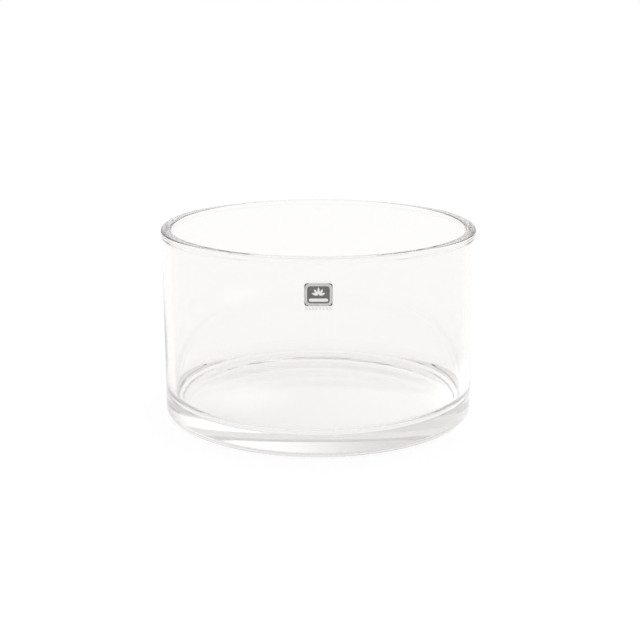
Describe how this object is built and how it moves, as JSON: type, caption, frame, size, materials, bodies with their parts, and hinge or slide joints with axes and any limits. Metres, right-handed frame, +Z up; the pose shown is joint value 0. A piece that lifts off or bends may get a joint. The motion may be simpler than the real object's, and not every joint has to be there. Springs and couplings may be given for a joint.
{
  "type": "glass cylinder vase",
  "caption": "Low clear glass cylinder vase with a heavy base, a thick rounded lip and a small rectangular sticker on its wall.",
  "frame": {"origin": "centre of the base, on the surface that the vase stands on", "axes": "+Z up along the vase's axis, from the base towards the mouth; the sticker faces -Y; +X is to the right when looking at the sticker"},
  "size_m": [0.2, 0.2, 0.121],
  "materials": {
    "clear_glass": "clear soda-lime glass, fire-polished, nearly colourless",
    "clear_adhesive": "clear pressure-sensitive adhesive",
    "clear_film": "clear gloss polyester film",
    "silver_foil": "satin silver foil",
    "dark_ink": "dark grey print",
    "light_ink": "off-white print",
    "grey_ink": "light grey print"
  },
  "bodies": {
    "root": {"glass_vessel": "clear_glass", "label_adhesive": "clear_adhesive", "label_film": "clear_film", "label_foil": "silver_foil", "label_dark_ink": "dark_ink", "label_keyline": "light_ink", "label_emblem": "light_ink", "label_caption": "grey_ink"}
  },
  "joints": []
}
